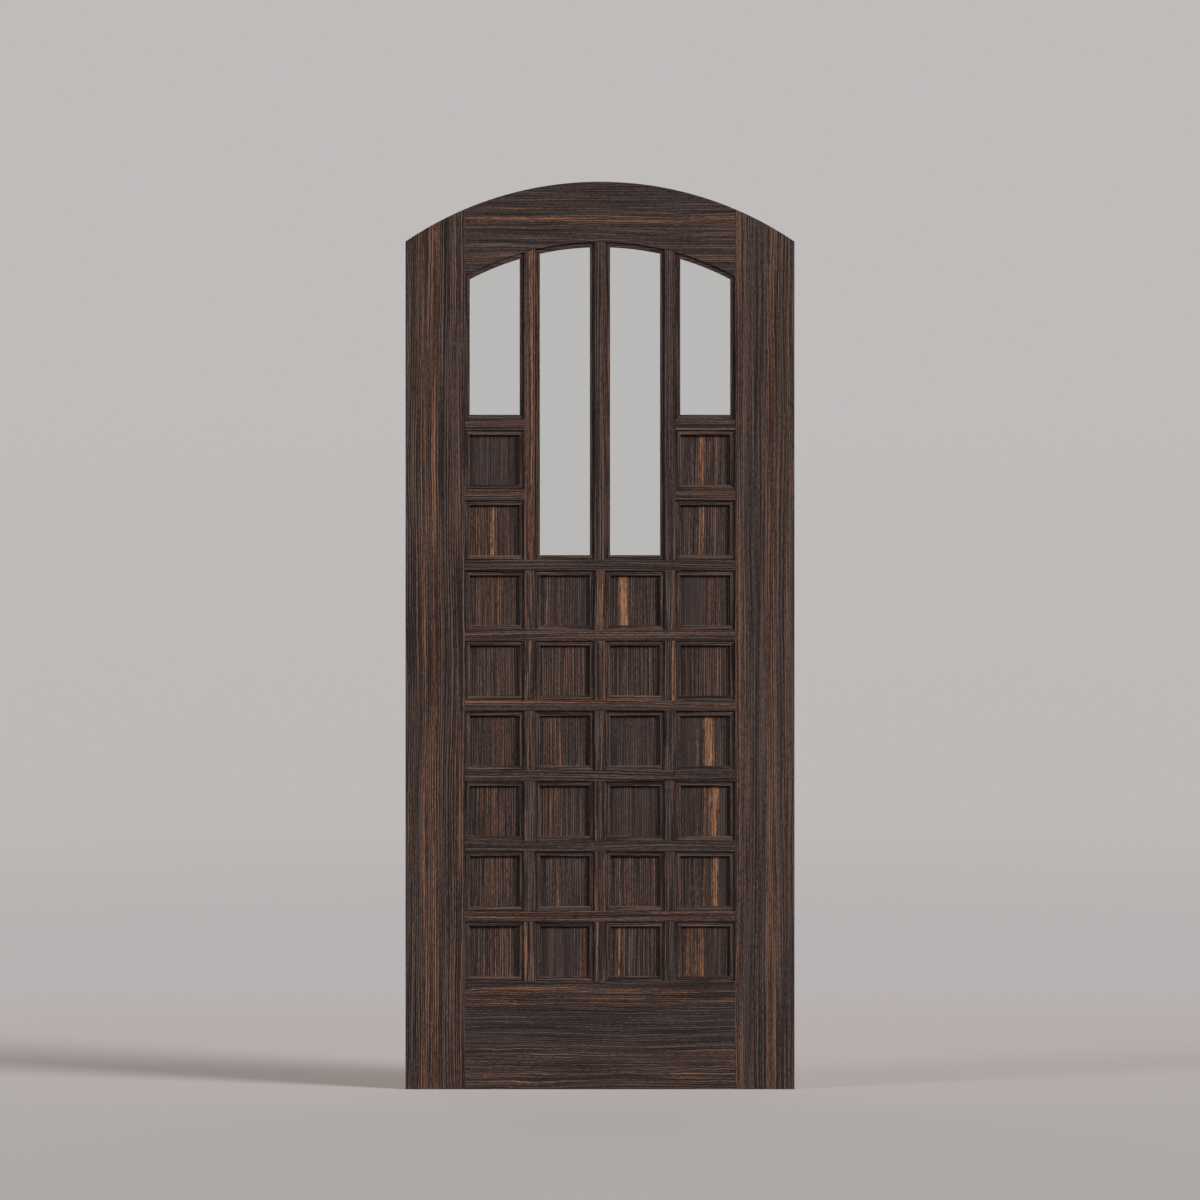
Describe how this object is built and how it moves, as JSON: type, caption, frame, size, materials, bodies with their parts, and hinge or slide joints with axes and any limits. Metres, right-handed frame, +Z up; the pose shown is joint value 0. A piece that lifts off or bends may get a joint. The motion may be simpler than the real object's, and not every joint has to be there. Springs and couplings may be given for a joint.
{
  "type": "arched panel door",
  "caption": "Arched stile-and-rail door leaf in dark wood, with a grid of small square panels under clear arched lights.",
  "frame": {"origin": "on the hinge edge of the leaf, at its foot and in the middle of its thickness", "axes": "+Z up along the hinge edge, +X across the leaf from the hinge edge to the lock edge, -Y out of the front face"},
  "size_m": [0.9144, 0.0444, 2.1336],
  "materials": {
    "dark_wood": "satin lacquer on open-grained dark brown wood",
    "clear_glass": "clear float glass"
  },
  "bodies": {
    "root": {"left_stile": "dark_wood", "right_stile": "dark_wood", "arched_top_rail": "dark_wood", "bottom_rail": "dark_wood", "cross_rail_1": "dark_wood", "cross_rail_2": "dark_wood", "cross_rail_3": "dark_wood", "cross_rail_4": "dark_wood", "cross_rail_5": "dark_wood", "glazing_rail": "dark_wood", "left_side_rail_1": "dark_wood", "left_side_rail_2": "dark_wood", "right_side_rail_1": "dark_wood", "right_side_rail_2": "dark_wood", "left_mullion": "dark_wood", "centre_mullion": "dark_wood", "right_mullion": "dark_wood", "muntins_row_1": "dark_wood", "muntins_row_2": "dark_wood", "muntins_row_3": "dark_wood", "muntins_row_4": "dark_wood", "muntins_row_5": "dark_wood", "muntins_row_6": "dark_wood", "panels_row_1": "dark_wood", "panels_row_2": "dark_wood", "panels_row_3": "dark_wood", "panels_row_4": "dark_wood", "panels_row_5": "dark_wood", "panels_row_6": "dark_wood", "panels_row_7": "dark_wood", "panels_row_8": "dark_wood", "left_glass": "clear_glass", "centre_left_glass": "clear_glass", "centre_right_glass": "clear_glass", "right_glass": "clear_glass", "front_upright_panel_mouldings": "dark_wood", "front_level_panel_mouldings": "dark_wood", "back_upright_panel_mouldings": "dark_wood", "back_level_panel_mouldings": "dark_wood", "front_upright_glazing_beads": "dark_wood", "front_sill_glazing_beads": "dark_wood", "front_arched_glazing_beads": "dark_wood", "back_upright_glazing_beads": "dark_wood", "back_sill_glazing_beads": "dark_wood", "back_arched_glazing_beads": "dark_wood"}
  },
  "joints": []
}
